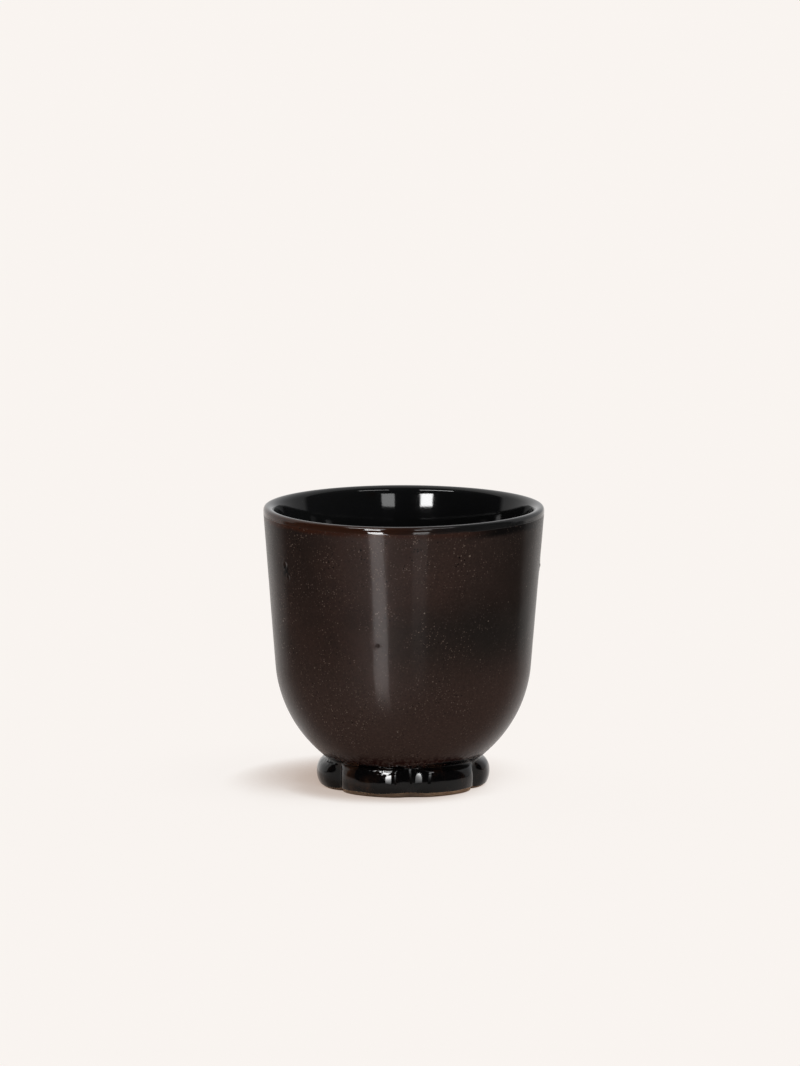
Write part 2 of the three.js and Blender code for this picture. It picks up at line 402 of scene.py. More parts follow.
def lip(depth):
    """The lip from outside to inside, a depth under the glaze's face."""
    end = math.pi - LIP_FLARE
    round_lip = arc(LIP_RADIUS, LIP_HEIGHT, LIP - depth, -LEAN, end - LEAN, LIP_STEPS)
    return [
        (radius + LIP_CREST * math.sin(end * i / LIP_STEPS) ** 2, height)
        for i, (radius, height) in enumerate(round_lip)
    ]


def outside(depth, fineness=1):
    """The outside of the bowl from the foot up to the lip."""
    ball = arc(0, BOWL_CENTRE, BOWL_RADIUS - depth, -COAT_END, -LEAN, BALL_STEPS * fineness)
    return ball + line(ball[-1], lip(depth)[0], WALL_STEPS * fineness)[1:]


def thickening(height):
    """The wall swells inside below the lip, and loses this towards the bottom."""
    below = max(INNER_TOP - height, 0)
    return LIP_THICKENING * (1 - math.exp(-below / THICKENING_REACH)) * smooth01(height / CUP_HEIGHT)


def inside(depth):
    """The inside of the bowl from below the lip to the axis."""
    ball = arc(0, BOWL_CENTRE, INNER_BALL + depth, -LEAN, -FILLET_ANGLE, BALL_STEPS)
    fillet_size = FLOOR_FILLET + depth
    fillet = arc(FILLET_RADIUS, FILLET_HEIGHT, fillet_size, -FILLET_ANGLE, -math.pi / 2, LIP_STEPS)
    floor = line(fillet[-1], (0, FLOOR_HEIGHT - depth), LIP_STEPS // 2)
    wall = line(lip(depth)[-1], ball[0], WALL_STEPS)
    points = wall[1:] + ball[1:] + fillet[1:] + floor[1:]
    return [(radius - thickening(height), height) for radius, height in points]


# Skins


def stand(section, turn):
    """Stands a section up at a turn, with the thrown wall's stray from round."""
    points = []
    dip = max(math.cos(turn), 0) ** 2 * (RIM_WARP * math.sin(turn) - RIM_DIP)
    for radius, height in section:
        share = height / CUP_HEIGHT
        stray = OVAL * math.sin(2 * turn - OVAL_TURN) - SWAY * math.sin(3 * turn + SWAY_TWIST * share)
        away = radius + stray * share * min(radius / BOWL_RADIUS, 1)
        aside = LEAN_RIGHT * share**2
        points.append((away * math.sin(turn) + aside, -away * math.cos(turn), height + dip * share**4))
    return points


def mesh_piece(name, points, faces):
    """A closed smooth piece from points and faces, with doubled points on the axis joined."""
    shape = bmesh.new()
    corners = [shape.verts.new(point) for point in points]
    for face in faces:
        shape.faces.new([corners[i] for i in face])
    bmesh.ops.remove_doubles(shape, verts=shape.verts, dist=JOIN_DISTANCE)
    bmesh.ops.recalc_face_normals(shape, faces=shape.faces)
    mesh = bpy.data.meshes.new(name)
    shape.to_mesh(mesh)
    shape.free()
    mesh.shade_smooth()
    piece = bpy.data.objects.new(name, mesh)
    bpy.context.collection.objects.link(piece)
    return piece


def strip_faces(near, far, count, closed):
    """Faces between two neighbouring sections, from the numbers of their first points."""
    faces = []
    for j in range(count if closed else count - 1):
        next_ = (j + 1) % count
        faces.append((near + j, far + j, far + next_, near + next_))
    return faces


def turned(name, section_at, turns, poles):
    """A piece through sections all round the axis, closed loops or lines from axis to axis."""
    points = []
    faces = []
    for i in range(turns):
        turn = 2 * math.pi * i / turns
        points.extend(stand(section_at(turn), turn))
    count = len(points) // turns
    for i in range(turns):
        faces.extend(strip_faces(i * count, (i + 1) % turns * count, count, not poles))
    return mesh_piece(name, points, faces)


def put_on(piece, node, material):
    """A piece stands for a node and has its slot and a material."""
    piece.data.materials.append(material)
    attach(piece, "root")
    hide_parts(node)


# The bowl, its two coats, the slip and the ring


def bowl_section(turn):
    under = arc(0, BOWL_CENTRE, CLAY_BALL, -BASE_EDGE, -COAT_END, LIP_STEPS)
    base = line((0, BASE_HEIGHT), under[0], LIP_STEPS)
    return base + under[1:] + outside(GLAZE)[1:] + lip(GLAZE)[1:] + inside(GLAZE)


def flaw(turn, radius, height):
    """How far the pits and bumps move the outer glaze's face, each with a low rim round it."""
    moved = 0.0
    for degrees, middle, size, out in FLAWS:
        if abs(height - middle) < 2 * size:
            aside = turn_between(turn, math.radians(degrees)) * radius
            away = math.hypot(aside, height - middle) / size
            rim = math.exp(-(((away - FLAW_RIM) / FLAW_RIM_WIDTH) ** 2))
            moved += out * (1 - smooth01(away)) + FLAW_RIM_RISE * abs(out) * rim
    return moved


def bubbly(place):
    """How far the glaze that ran down blisters above the foot."""
    low = 1 - smooth01((place.z - FOOT_TOP) / BUBBLE_REACH)
    if low == 0:
        return 0.0
    cell = place / BUBBLE_SIZE
    small = SMALL_BUBBLES * noise.noise(cell * SMALL_BUBBLE_SCALE)
    return BUBBLES * low * max(noise.noise(cell) + small, 0)


def outer_section(turn):
    """The outer glaze, with its flaws, its bubbles and a slight waver."""
    face = []
    for radius, height in outside(0, COAT_FINENESS):
        place = in_space(radius, turn, height)
        out = flaw(turn, radius, height) + bubbly(place) + WAVER * noise.noise(place / WAVER_SIZE)
        face.append((radius + out, height))
    return face + outside(GLAZE)[::-1]


def lapped_edge(turn):
    """The lining's edge outside, from the lip down: a little proud, then rounded off."""
    reach = LAP + LAP_WAVE * wave(turn, (3, 0.5), (5, 2.1), (11, 0.2), (23, 1.4))
    radius, height = lip(0)[0]
    points = []
    for i in range(1, LIP_STEPS + 1):
        along = reach * i / LIP_STEPS
        left = max(reach - along, 0)
        full = math.sqrt(1 - (1 - min(left / LAP_ROUND, 1)) ** 2)
        proud = LAP_PROUD * smooth01(along / (LAP_SWELL * reach)) * full - LAP_SINK * (1 - full)
        out = radius - along * math.sin(LEAN) + proud * math.cos(LEAN)
        points.append((out, height - along * math.cos(LEAN) - proud * math.sin(LEAN)))
    return points


def liner_section(turn):
    """The lining from the axis over the lip to its lapped edge outside, and back underneath."""
    lapped = lapped_edge(turn)
    edge_back = (lapped[-1][0] - GLAZE / 2, lapped[-1][1])
    return inside(0)[::-1] + lip(0)[::-1] + lapped + [edge_back] + lip(GLAZE) + inside(GLAZE)


def slip_section(turn):
    under = arc(0, BOWL_CENTRE, SEAT_BALL, -RING_INSIDE, -RING_OUTSIDE, LIP_STEPS)
    over = arc(0, BOWL_CENTRE, CLAY_BALL, -RING_INSIDE, -RING_OUTSIDE, LIP_STEPS)
    return under + over[::-1]


def ring_section(turn):
    quarter = math.pi / 2
    inner = arc(RING_BORE + RING_EDGE, RING_EDGE, RING_EDGE, -2 * quarter, -quarter, LIP_STEPS // 3)
    outer = arc(RING_RADIUS - RING_EDGE, RING_EDGE, RING_EDGE, -quarter, 0, LIP_STEPS // 3)
    seat = arc(0, BOWL_CENTRE, SEAT_BALL, -RING_OUTSIDE, -RING_INSIDE, LIP_STEPS)
    return inner + outer + seat


# The lobed foot


def lobe_along(turn):
    """Where a turn is on its lobe, from -1 to 1 between two grooves, with the dent at 0."""
    return ((turn - LOBE_TURN) * LOBES / math.pi + 1) % 2 - 1


def front_share(turn):
    """1 on the boxier front lobe, less round the sides, 0 behind."""
    return near_turn(turn, FRONT_MIDDLE, FRONT_REACH)


def dent(turn):
    """How deep the soft dent in the middle of a lobe is."""
    across = lobe_along(turn) * math.pi / LOBES * (GROOVE_RADIUS + LOBE_SWELL)
    share = across / (DENT_LEFT if across < 0 else DENT_RIGHT)
    return LOBE_DENT * math.cos(min(abs(share), 1) * math.pi / 2) ** 2


def section_angle(height):
    """The angle on the lobe's oval section at a height below its middle."""
    return -math.asin((LOBE_MIDDLE - height) / (LOBE_MIDDLE + LOBE_TUCK))


def foot_point(turn, angle, depth):
    """The lobe's face: an oval section, boxier above its middle at the front."""
    front = front_share(turn)
    rise = math.sin(angle)
    bulge = max(math.cos(angle), 0)
    if angle > 0:
        boxy = 2 / (2 + FRONT_BOXINESS * front)
        rise = rise**boxy
        bulge = bulge**boxy
        lean = 1 - FRONT_LEAN * front * rise
        press = 1
        height = LOBE_MIDDLE + (FOOT_TOP + FRONT_LIFT * front - depth - LOBE_MIDDLE) * rise
    else:
        lean = 1
        press = bulge
        height = LOBE_MIDDLE + (LOBE_MIDDLE + LOBE_TUCK) * rise
    groove = GROOVE_RADIUS + FOOT_FLARE * (1 - bulge) * height / FOOT_TOP - depth
    swell = LOBE_SWELL * (1 - abs(lobe_along(turn)) ** LOBE_CORNER) * lean
    return (groove + (swell - dent(turn) * press) * bulge, height)


def lobe_face(turn, start, end, steps, depth):
    """The lobe's face between two angles of its section, a depth under the glaze."""
    return [foot_point(turn, start + (end - start) * i / steps, depth) for i in range(steps + 1)]


def evenly(points, count):
    """Points at even steps along a line of points."""
    reach = [0.0]
    for a, b in zip(points, points[1:]):
        reach.append(reach[-1] + math.dist(a, b))
    found = []
    j = 0
    for i in range(count):
        want = reach[-1] * i / (count - 1)
        while j < len(points) - 2 and reach[j + 1] < want:
            j += 1
        share = (want - reach[j]) / (reach[j + 1] - reach[j])
        a, b = points[j], points[j + 1]
        found.append((a[0] + (b[0] - a[0]) * share, a[1] + (b[1] - a[1]) * share))
    return found


def softened(a, b, c):
    """The middle one of three points, drawn half way to the middle of the others."""
    return (0.25 * a[0] + 0.5 * b[0] + 0.25 * c[0], 0.25 * a[1] + 0.5 * b[1] + 0.25 * c[1])


def settled(points, passes):
    """Molten glaze fills corners: softens a line of points and leaves its ends."""
    for _ in range(passes):
        between = [softened(a, b, c) for a, b, c in zip(points, points[1:], points[2:])]
        points = [points[0], *between, points[-1]]
    return points


def smoothed_round(sections, passes):
    """Softens sections along the way round the axis."""
    for _ in range(passes):
        before = sections[-1:] + sections[:-1]
        after = sections[1:] + sections[:1]
        sections = [
            [softened(a, b, c) for a, b, c in zip(*neighbours)]
            for neighbours in zip(before, sections, after)
        ]
    return sections


def collar_top(turn):
    """How high the black glaze reaches up the bowl: ragged, and lower near the middle."""
    rough = noise.noise(Vector((math.sin(turn), math.cos(turn), 0.3)) * COLLAR_ROUGHNESS)
    right = near_turn(turn, COLLAR_TURN, COLLAR_REACH)
    top = COLLAR_SIDE + COLLAR_FRONT * front_share(turn) + COLLAR_RIGHT * right
    top += COLLAR_WAVE * (wave(turn, (5, 0.7), (9, 2.0)) + ROUGH_SHARE * rough)
    return top + near_turn(turn, DIP_TURN, DIP_REACH) * (COLLAR_RAGS * rough - COLLAR_DIP)


def bare_line(turn):
    """How high above the table the foot glaze ends: lower on the side lobes."""
    height = GLAZE_LINE + GLAZE_RISE + GLAZE_WAVE * wave(turn, (3, 0.4), (8, 1.2), (13, 2.2))
    past = abs(turn_between(turn, LOBE_TURN)) - SIDE_START
    return height - SIDE_RUN * smooth01(past / SIDE_REACH)


def foot_face(turn):
    """The foot glaze's face from its edge on the bowl, over the joint and the lobe, to the bare clay."""
    ball = BOWL_RADIUS + COLLAR_PROUD
    start = math.asin((BOWL_CENTRE - collar_top(turn)) / ball)
    end = math.acos((FOOT_TOP_RADIUS + COLLAR_GAP) / ball)
    collar = arc(0, BOWL_CENTRE, ball, -start, -end, COLLAR_STEPS)
    lobe = lobe_face(turn, GLAZE_CREST, section_angle(bare_line(turn)), LOBE_STEPS, 0)
    return settled(evenly(collar + lobe, FOOT_STEPS), SETTLE_PASSES)


def backed(face):
    """A closed section: the face and, a glaze thickness under it, its back with thin edges."""
    back = []
    last = len(face) - 1
    for i, point in enumerate(face):
        a = face[max(i - 1, 0)]
        b = face[min(i + 1, last)]
        length = math.dist(a, b)
        inward = ((b[1] - a[1]) / length, -(b[0] - a[0]) / length)
        from_edge = min(i, last - i) / last
        depth = EDGE_DEPTH + MORE_DEPTH * smooth01(from_edge / EDGE_SHARE)
        back.append((point[0] + inward[0] * depth, point[1] + inward[1] * depth))
    return face + back[::-1]


def foot_glaze_sections():
    """The foot glaze's sections all round, softened along the way."""
    faces = [foot_face(2 * math.pi * i / FOOT_TURNS) for i in range(FOOT_TURNS)]
    return [backed(face) for face in smoothed_round(faces, ROUND_PASSES)]


FOOT_SECTIONS = foot_glaze_sections()


def foot_section(turn):
    """The foot glaze at a turn, a little lumpy, with bubbles on its shoulder at the left."""
    left = smooth01(0.5 - 2 * math.sin(turn))
    lumpy = []
    for radius, height in FOOT_SECTIONS[round(turn / (2 * math.pi) * FOOT_TURNS)]:
        place = in_space(radius, turn, height)
        shoulder = smooth01((height / FOOT_TOP - SHOULDER_START) / SHOULDER_REACH) * left
        out = FOOT_LUMPS * noise.noise(place / LUMP_SIZE) + SHOULDER_BUBBLES * shoulder * bubbly(place)
        lumpy.append((radius + out, height))
    return lumpy


def lobe_section(turn):
    """A clay lobe's section: its back by the ring, its flat foot, and its face under the glaze."""
    room = RING_RADIUS + LUTE
    under_bowl = BOWL_CENTRE - math.sqrt((BOWL_RADIUS + LUTE) ** 2 - room**2)
    face = lobe_face(turn, section_angle(0), CLAY_CREST, CLAY_STEPS, CLAY_DEPTH)
    toe = face[0][0]
    return [(room, under_bowl - BACK_DROP), (room, 0.0), (toe - TOE_EDGE, 0.0), (toe, TOE_RISE), *face[1:]]


def lobe_piece(name, lobe):
    """One clay lobe between its two grooves."""
    points = []
    steps = FOOT_TURNS // LOBES
    for i in range(steps + 1):
        along = (1 - LOBE_GAP) * (2 * i / steps - 1)
        turn = LOBE_TURN + (lobe + along / 2) * 2 * math.pi / LOBES
        points.extend(stand(lobe_section(turn), turn))
    count = len(points) // (steps + 1)
    faces = [tuple(range(count)), tuple(range(len(points) - count, len(points)))]
    for i in range(steps):
        faces.extend(strip_faces(i * count, (i + 1) * count, count, True))
    return mesh_piece(name, points, faces)


# Nodes that the materials are made of


def add(tree, kind, sockets=None, **settings):
    """Adds a node, sets it up, and gives each named input a value or another node's output."""
    made = tree.nodes.new("ShaderNode" + kind)
    for name, value in settings.items():
        setattr(made, name, value)
    for name, value in (sockets or {}).items():
        if isinstance(value, bpy.types.NodeSocket):
            tree.links.new(value, made.inputs[name])
        else:
            made.inputs[name].default_value = value
    return made


def new_material(name):
    material = bpy.data.materials.new(name)
    material.use_nodes = True
    tree = material.node_tree
    tree.nodes.clear()
    return material, tree


def close(tree, shader, kind="OutputMaterial"):
    """Ends a tree with a shader."""
    add(tree, kind, {"Surface": shader})


def coords(tree):
    return add(tree, "TexCoord").outputs["Object"]


def grain(tree, size, detail=3.0, place=None):
    """Soft noise from 0 to 1 whose lumps are about a size across."""
    made = add(tree, "TexNoise", {"Vector": place or coords(tree), "Scale": 1 / size, "Detail": detail})
    return made.outputs["Fac"]


def mask(tree, value, start, end):
    """0 up to the start and 1 from the end on, smooth between."""
    sockets = {"Value": value, 1: start, 2: end}
    return add(tree, "MapRange", sockets, interpolation_type="SMOOTHSTEP").outputs["Result"]


def spread(tree, value, low, high):
    """Turns 0 to 1 into low to high."""
    return add(tree, "MapRange", {"Value": value, 3: low, 4: high}).outputs["Result"]


def math_node(tree, operation, first, second):
    return add(tree, "Math", {0: first, 1: second}, operation=operation).outputs["Value"]


def both(tree, first, second):
    """One share times another."""
    return math_node(tree, "MULTIPLY", first, second)


def length(tree, vector):
    return add(tree, "VectorMath", {0: vector}, operation="LENGTH").outputs["Value"]


def mixed(tree, share, first, second):
    """A colour between two others by a share from 0 to 1."""
    made = add(tree, "Mix", {0: share, 6: first, 7: second}, data_type="RGBA")
    return made.outputs[2]


def mixed_shader(tree, share, first, second):
    """A shader between two others by a share from 0 to 1."""
    return add(tree, "MixShader", {0: share, 1: first, 2: second}).outputs["Shader"]


def bump(tree, height, depth, strength=1.0):
    made = add(tree, "Bump", {"Height": height, "Distance": depth, "Strength": strength})
    return made.outputs["Normal"]


def speckles(tree, spacing, size, share):
    """Dots of many shades, up to a size, about a spacing apart, on a share of the places."""
    cells = add(tree, "TexVoronoi", {"Vector": coords(tree), "Scale": 1 / spacing})
    chance = add(tree, "SeparateColor", {"Color": cells.outputs["Color"]})
    reach = both(tree, chance.outputs["Green"], size / spacing)
    inside_dot = math_node(tree, "LESS_THAN", cells.outputs["Distance"], reach)
    chosen = math_node(tree, "LESS_THAN", chance.outputs["Red"], share)
    return both(tree, both(tree, inside_dot, chosen), chance.outputs["Blue"])


def position(tree):
    """A node with the X, Y and Z of a place."""
    return add(tree, "SeparateXYZ", {"Vector": coords(tree)})


def turn_at(tree, place):
    """The turn of a place, in radians."""
    front = math_node(tree, "MULTIPLY", place.outputs["Y"], -1.0)
    return math_node(tree, "ARCTAN2", place.outputs["X"], front)


def right_at(tree, turn):
    """How far right a turn is, from -1 to 1 at the widest."""
    return math_node(tree, "SINE", turn, 0.0)


# Materials


def shaded_outer_tones(tree, turn):
    """Brown that changes slowly from the front round the right to the back, darker there as painted shade.
    """
    drift = spread(tree, grain(tree, 30 * MM), -TONE_DRIFT, TONE_DRIFT)
    half_turns = math_node(tree, "DIVIDE", math_node(tree, "ADD", turn, drift), math.pi)
    ramp = add(tree, "ValToRGB", {"Fac": half_turns})
    stops = ramp.color_ramp.elements
    stops[0].color = FRONT_TONE
    stops[1].color = BACK_TONE
    for degrees, colour in RIGHT_SHADED_TONES:
        stops.new(degrees / 180).color = colour
    return ramp.outputs["Color"]


def outer_bands(tree, base, right, height):
    """A girdle of painted shade at the right, a crown darker at the left with painted shade and paler
    towards the middle, amber or black under the lip, and a bottom lightened with painted light bounced from
    the floor.
    """
    # A girdle of painted shade at the right
    girdle = both(tree, mask(tree, height, *GIRDLE_LOW), mask(tree, height, *GIRDLE_HIGH))
    girdle = both(tree, girdle, mask(tree, right, *GIRDLE_SIDE))
    base = mixed(tree, spread(tree, girdle, 0.0, GIRDLE_SHARE), base, GIRDLE_SHADE_COLOUR)
    # A crown, darker at the left with painted shade and paler towards the middle
    crown = both(tree, mask(tree, height, *CROWN_BAND), mask(tree, right, *CROWN_SIDE))
    crown_colour = mixed(tree, mask(tree, right, *CROWN_PALE_SIDE), CROWN_SHADE, CROWN_PALE)
    base = mixed(tree, spread(tree, crown, 0.0, CROWN_SHARE), base, crown_colour)
    ragged_edge = spread(tree, grain(tree, 15 * MM), *AMBER_EDGE)
    above = math_node(tree, "SUBTRACT", height, ragged_edge)
    amber_side = spread(tree, mask(tree, right, *AMBER_SIDE), 0.35, 1.0)
    base = mixed(tree, both(tree, mask(tree, above, *AMBER_FADE), amber_side), base, AMBER_COLOUR)
    black = both(tree, mask(tree, above, *BLACK_FADE), mask(tree, right, *BLACK_SIDE))
    base = mixed(tree, black, base, BLACK_COLOUR)
    # Lighter towards the bottom, as painted light bounced from the floor
    return mixed(tree, mask(tree, height, *LOW_BOUNCE_BAND), base, LOW_BOUNCE_COLOUR)


def outer_marks(tree, base, height):
    """Red-brown spots above the foot, and a small dark scuff."""
    spots = both(tree, mask(tree, grain(tree, 1.4 * MM), 0.42, 0.56), mask(tree, height, *SPOT_BAND))
    base = mixed(tree, spots, base, SPOT_COLOUR)
    gap = add(tree, "VectorMath", {0: coords(tree), 1: SCUFF}, operation="DISTANCE").outputs["Value"]
    scuff = both(tree, mask(tree, gap, *SCUFF_FADE), mask(tree, grain(tree, 1.6 * MM), 0.4, 0.55))
    return mixed(tree, scuff, base, SCUFF_COLOUR)


def outer_specks(tree, base, right, height):
    """Fine grain, tan dust, larger dots and dark pinholes, as a colour and as how far they stand out."""
    patches = spread(tree, mask(tree, grain(tree, 9 * MM, 2.0), 0.35, 0.65), 0.15, 0.8)
    patches = both(tree, patches, spread(tree, mask(tree, right, *DUST_SIDE), 1.0, 0.35))
    patches = both(tree, patches, spread(tree, mask(tree, height, *DUST_BAND), 1.0, 1.5))
    dust = both(tree, speckles(tree, 0.6 * MM, 0.24 * MM, 0.95), patches)
    dots = speckles(tree, 3.0 * MM, 0.32 * MM, 0.6)
    pinholes = both(tree, speckles(tree, 0.9 * MM, 0.34 * MM, 0.8), patches)
    fine = mask(tree, grain(tree, 0.7 * MM, 4.0), 0.35, 0.65)
    base = mixed(tree, spread(tree, fine, 0.0, 0.22), base, GRAIN_COLOUR)
    base = mixed(tree, dust, base, DUST_COLOUR)
    base = mixed(tree, dots, base, DOT_COLOUR)
    base = mixed(tree, pinholes, base, PINHOLE_COLOUR)
    raised = math_node(tree, "SUBTRACT", math_node(tree, "ADD", dust, dots), pinholes)
    return base, raised


def outer_skin(tree, raised):
    """The height of the satin skin: pebbly, with its specks and fine lines round the cup."""
    stretch = (0.1, 0.1, 1)
    flattened = add(tree, "VectorMath", {0: coords(tree), 1: stretch}, operation="MULTIPLY")
    lines = grain(tree, 0.6 * MM, 3.0, flattened.outputs["Vector"])
    pebbles = math_node(tree, "ADD", grain(tree, 1.6 * MM, 4.0), raised)
    return math_node(tree, "ADD", pebbles, math_node(tree, "MULTIPLY", lines, 0.8))


def outer_glaze_material():
    """Satin brown glaze: mottled, speckled, amber or black under the lip, glossier at a slant."""
    material, tree = new_material("satin_brown_glaze")
    place = position(tree)
    height = place.outputs["Z"]
    turn = turn_at(tree, place)
    right = right_at(tree, turn)
    mottle = mask(tree, grain(tree, 12 * MM, 5.0), 0.3, 0.7)
    # The tones carry painted shade, darker round the right and behind.
    base = mixed(tree, spread(tree, mottle, 0.0, 0.3), shaded_outer_tones(tree, turn), MOTTLE_COLOUR)
    base = outer_bands(tree, base, right, height)
    base = outer_marks(tree, base, height)
    base, raised = outer_specks(tree, base, right, height)
    slant = add(tree, "LayerWeight", {"Blend": 0.5}).outputs["Facing"]
    shader = add(
        tree,
        "BsdfPrincipled",
        {
            "Base Color": base,
            "Roughness": spread(tree, mottle, 0.5, 0.62),
            "Specular IOR Level": 0.015,
            "Coat Weight": spread(tree, mask(tree, slant, 0.42, 0.8), 0.026, 0.46),
            "Coat Roughness": 0.13,
            "Normal": bump(tree, outer_skin(tree, raised), 0.04 * MM, 0.5),
        },
    )
    close(tree, shader.outputs["BSDF"])
    return material


def black_glaze(tree, base):
    """Glossy black glaze over a base colour, with a faint orange-peel skin."""
    shader = add(
        tree,
        "BsdfPrincipled",
        {
            "Base Color": base,
            "Roughness": spread(tree, grain(tree, 6 * MM), 0.04, 0.09),
            "Specular IOR Level": 0.2,
            "Normal": bump(tree, grain(tree, 3 * MM, 1.0), 0.04 * MM, 0.2),
        },
    )
    close(tree, shader.outputs["BSDF"])


def liner_material():
    """Black glaze, amber on the outside of the lip, which fades out towards the right."""
    material, tree = new_material("glossy_black_liner")
    cloud = mixed(tree, grain(tree, 4 * MM), LINER_DARK, LINER_PALE)
    thin = mask(tree, grain(tree, 9 * MM, 2.0), 0.62, 0.8)
    lining = mixed(tree, thin, cloud, LINER_THIN)
    place = position(tree)
    level = add(tree, "CombineXYZ", {"X": place.outputs["X"], "Y": place.outputs["Y"]})
    away = length(tree, level.outputs["Vector"])
    outer = mask(tree, away, LIP_RADIUS + 0.2 * LIP, LIP_RADIUS + 0.75 * LIP)
    left = mask(tree, right_at(tree, turn_at(tree, place)), *LIP_AMBER_SIDE)
    black_glaze(tree, mixed(tree, both(tree, outer, left), lining, LIP_AMBER))
    return material


def foot_material():
    """Black glaze that is brown where it is thin, most on the left of the front lobe."""
    material, tree = new_material("glossy_black_foot")
    place = position(tree)
    right = right_at(tree, turn_at(tree, place))
    cloud = mixed(tree, grain(tree, 4 * MM), FOOT_DARK, FOOT_PALE)
    thin = mask(tree, grain(tree, 6 * MM, 2.0), 0.42, 0.7)
    left = both(tree, mask(tree, right, *BROWN_LEFT_SIDE), mask(tree, right, *BROWN_RIGHT_SIDE))
    brown = both(tree, thin, spread(tree, left, 0.3, 1.0))
    glaze = mixed(tree, brown, cloud, FOOT_THIN)
    spots = mask(tree, grain(tree, 1.4 * MM), 0.4, 0.6)
    run = both(tree, mask(tree, place.outputs["Z"], *RUN_BAND), spots)
    run = both(tree, run, mask(tree, right, *RUN_SIDE))
    black_glaze(tree, mixed(tree, run, glaze, RUN_COLOUR))
    return material


def clay_material(name, colour, dark):
    """Bare fired clay: sandy and matte, with dark iron specks."""
    material, tree = new_material(name)
    sand = grain(tree, 0.9 * MM, 5.0)
    base = mixed(tree, mask(tree, grain(tree, 6 * MM), 0.35, 0.7), colour, dark)
    base = mixed(tree, spread(tree, sand, 0.0, 0.5), base, dark)
    base = mixed(tree, speckles(tree, 1.3 * MM, 0.3 * MM, 0.35), base, IRON_COLOUR)
    shader = add(
        tree,
        "BsdfPrincipled",
        {
            "Base Color": base,
            "Roughness": spread(tree, sand, 0.82, 0.95),
            "Specular IOR Level": 0.2,
            "Normal": bump(tree, sand, 0.08 * MM, 0.6),
        },
    )
    close(tree, shader.outputs["BSDF"])
    return material


CLAY = clay_material("bare_stoneware", CLAY_PALE, CLAY_DARK)
SLIP = clay_material("fired_slip", SLIP_PALE, SLIP_DARK)
LINER = liner_material()
FOOT = foot_material()
OUTER = outer_glaze_material()

put_on(turned("bowl_clay", bowl_section, TURNS, True), "bowl", CLAY)
put_on(turned("outer_glaze_coat", outer_section, COAT_TURNS, False), "outer_glaze", OUTER)
put_on(turned("liner_glaze_coat", liner_section, TURNS, True), "liner_glaze", LINER)
put_on(turned("slip_layer", slip_section, TURNS, False), "slip_seam", SLIP)
put_on(turned("foot_ring_clay", ring_section, TURNS, False), "foot_ring", CLAY)
for lobe in range(LOBES):
    name = f"foot_lobe_{lobe + 1}"
    put_on(lobe_piece(name + "_clay", lobe), name, CLAY)
put_on(turned("foot_glaze_coat", foot_section, FOOT_TURNS, False), "foot_glaze", FOOT)


# Studio


def flat_panel(name, corners, faces, material):
    mesh = bpy.data.meshes.new(name)
    mesh.from_pydata(corners, [], faces)
    mesh.materials.append(material)
    panel = bpy.data.objects.new(name, mesh)
    bpy.context.collection.objects.link(panel)
    return panel


def floor_shade(tree):
    """How lit a place on the floor is, from 0 to 1: the darkest of the painted shadows of the cup, each
    from how open the floor is round an aim.
    """
    lit = 1.0
    for aim, reach, dark, light, darkest in SHADES:
        normal = add(tree, "CombineXYZ", {"X": aim.x, "Y": aim.y, "Z": aim.z}).outputs["Vector"]
        openness = add(tree, "AmbientOcclusion", {"Distance": reach, "Normal": normal}).outputs["AO"]
        shade = spread(tree, mask(tree, openness, dark, light), darkest, 1.0)
        lit = math_node(tree, "MINIMUM", lit, shade)
    return lit


def room_share(tree, away):
    """1 where the floor is dark in reflections: neither behind the cup nor near it."""
    behind = math_node(tree, "DIVIDE", position(tree).outputs["Y"], away)
    near = mask(tree, away, *PALE_NEAR)
    pale = math_node(tree, "MAXIMUM", mask(tree, behind, *PALE_BEHIND), near)
    return math_node(tree, "SUBTRACT", 1.0, pale)


def floor_material():
    """Pale paper that keeps its colour in the light, with shade beside the foot that is mostly a painted
    shadow and partly real, and a painted dark room in its reflections.

    It is clear from below and under the foot ring, which lets the underside be seen."""
    material, tree = new_material("pale_paper")
    ray = add(tree, "LightPath")
    reflected = ray.outputs["Is Glossy Ray"]
    away = length(tree, coords(tree))
    # The shade beside the foot is a painted shadow, from how open each place is
    shaded = mixed(tree, floor_shade(tree), SHADE_COLOUR, PAPER_COLOUR)
    # Reflections show a painted dark room, except behind the cup and near it
    dark_room = both(tree, room_share(tree, away), reflected)
    seen = add(tree, "Emission", {"Color": mixed(tree, dark_room, shaded, ROOM_COLOUR)})
    paper = add(tree, "BsdfDiffuse", {"Color": PAPER_COLOUR})
    looked_at = math_node(tree, "ADD", ray.outputs["Is Camera Ray"], reflected)
    looked_at = math_node(tree, "ADD", looked_at, ray.outputs["Is Transmission Ray"])
    share = both(tree, looked_at, SEEN_SHARE)
    top = mixed_shader(tree, share, paper.outputs["BSDF"], seen.outputs["Emission"])
    below = add(tree, "NewGeometry").outputs["Backfacing"]
    under = math_node(tree, "LESS_THAN", away, RING_RADIUS)
    clear = add(tree, "BsdfTransparent").outputs["BSDF"]
    close(tree, mixed_shader(tree, math_node(tree, "MAXIMUM", below, under), top, clear))
    return material


def glow_material(name, strength, full):
    """Light that fades out towards the table, from a height where it is full."""
    material, tree = new_material(name)
    fade = both(tree, mask(tree, position(tree).outputs["Z"], 0.0, full), strength)
    close(tree, add(tree, "Emission", {"Strength": fade}).outputs["Emission"])
    return material


def strip_light(name, strength, full, rows):
    """A tall light through its rows, that shows only as a reflection."""
    corners = []
    for degrees, distance, height, width in rows:
        turn = math.radians(degrees)
        centre = in_space(distance, turn, height)
        side = Vector((math.cos(turn), math.sin(turn), 0)) * width / 2
        corners.extend((centre - side, centre + side))
    faces = [(i, i + 1, i + 3, i + 2) for i in range(0, len(corners) - 2, 2)]
    panel = flat_panel(name, corners, faces, glow_material(name + "_glow", strength, full))
    panel.visible_camera = False
    panel.visible_diffuse = False
    panel.visible_shadow = False


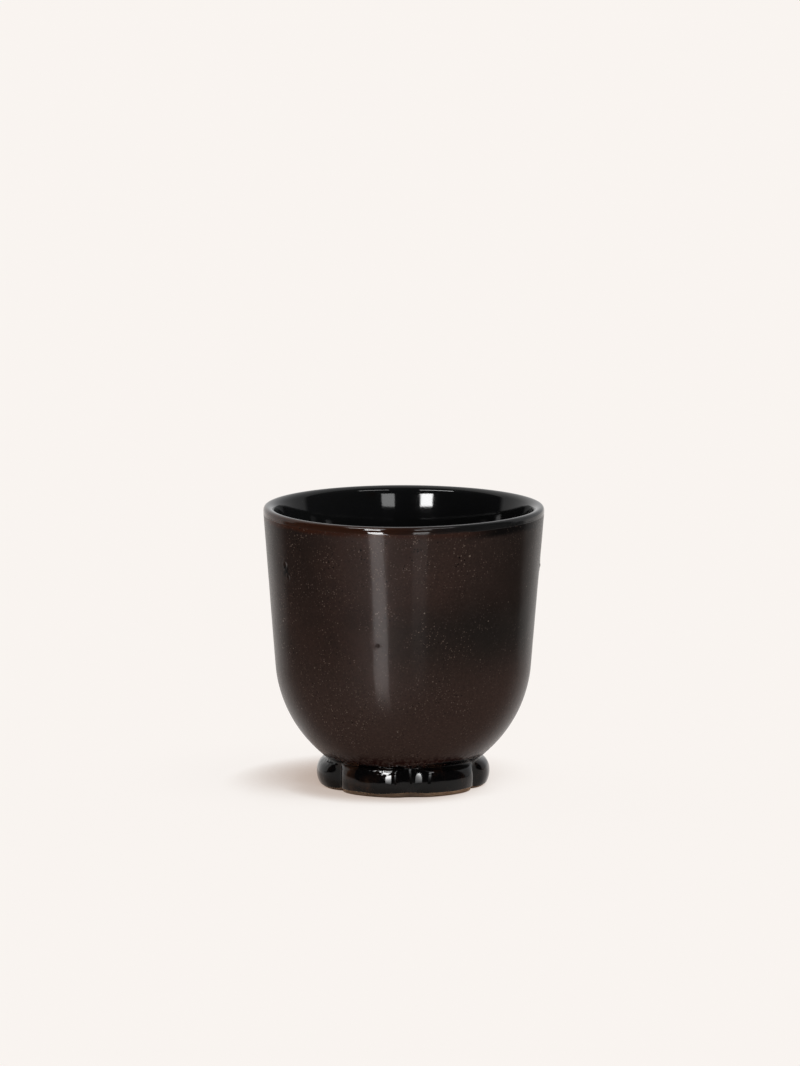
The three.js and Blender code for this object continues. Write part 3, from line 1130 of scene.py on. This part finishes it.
def add_floor(reach):
    corners = [(-reach, -reach, 0), (reach, -reach, 0), (reach, reach, 0), (-reach, reach, 0)]
    flat_panel("floor", corners, [(0, 1, 2, 3)], floor_material())


def add_sun():
    sun = bpy.data.objects.new("key_sun", bpy.data.lights.new("key_sun", "SUN"))
    sun.data.energy = SUN_STRENGTH
    sun.data.angle = SUN_ANGLE
    sun.visible_glossy = False
    sun.rotation_euler = SUN_FROM.to_track_quat("Z", "Y").to_euler()
    bpy.context.collection.objects.link(sun)


def light_room():
    """A pale wall behind the cup and a dark room in front, with a sharp edge in reflections."""
    world = bpy.data.worlds.new("studio")
    bpy.context.scene.world = world
    world.use_nodes = True
    tree = world.node_tree
    tree.nodes.clear()
    aim = add(tree, "SeparateXYZ", {"Vector": add(tree, "TexCoord").outputs["Generated"]})
    wall = mixed(tree, mask(tree, aim.outputs["X"], *WALL_SIDES), WALL_LEFT, WALL_RIGHT)
    soft = mixed(tree, mask(tree, aim.outputs["Y"], *WALL_SOFT), ROOM_DARK, wall)
    sharp = mixed(tree, mask(tree, aim.outputs["Y"], *WALL_SHARP), ROOM_DARK, wall)
    reflected = add(tree, "LightPath").outputs["Is Glossy Ray"]
    light = add(tree, "Background", {"Color": mixed(tree, reflected, soft, sharp)})
    close(tree, light.outputs["Background"], "OutputWorld")


def add_camera():
    camera = bpy.data.objects.new("camera", bpy.data.cameras.new("camera"))
    camera.data.sensor_width = SENSOR
    camera.data.lens = SENSOR * FOCAL_PIXELS / IMAGE_HEIGHT
    camera.data.clip_end = CAMERA_SIGHT
    camera.location = (
        -CAMERA_LEFT,
        -CAMERA_DISTANCE * math.cos(CAMERA_ELEVATION),
        CAMERA_DISTANCE * math.sin(CAMERA_ELEVATION),
    )
    camera.rotation_euler = (math.pi / 2 - CAMERA_PITCH, 0, 0)
    bpy.context.collection.objects.link(camera)
    bpy.context.scene.camera = camera


add_floor(FLOOR_REACH)
for name, strength, full, rows in LIGHTS:
    strip_light(name, strength, full, rows)
add_sun()
light_room()
add_camera()
bpy.context.scene.view_settings.view_transform = "Standard"
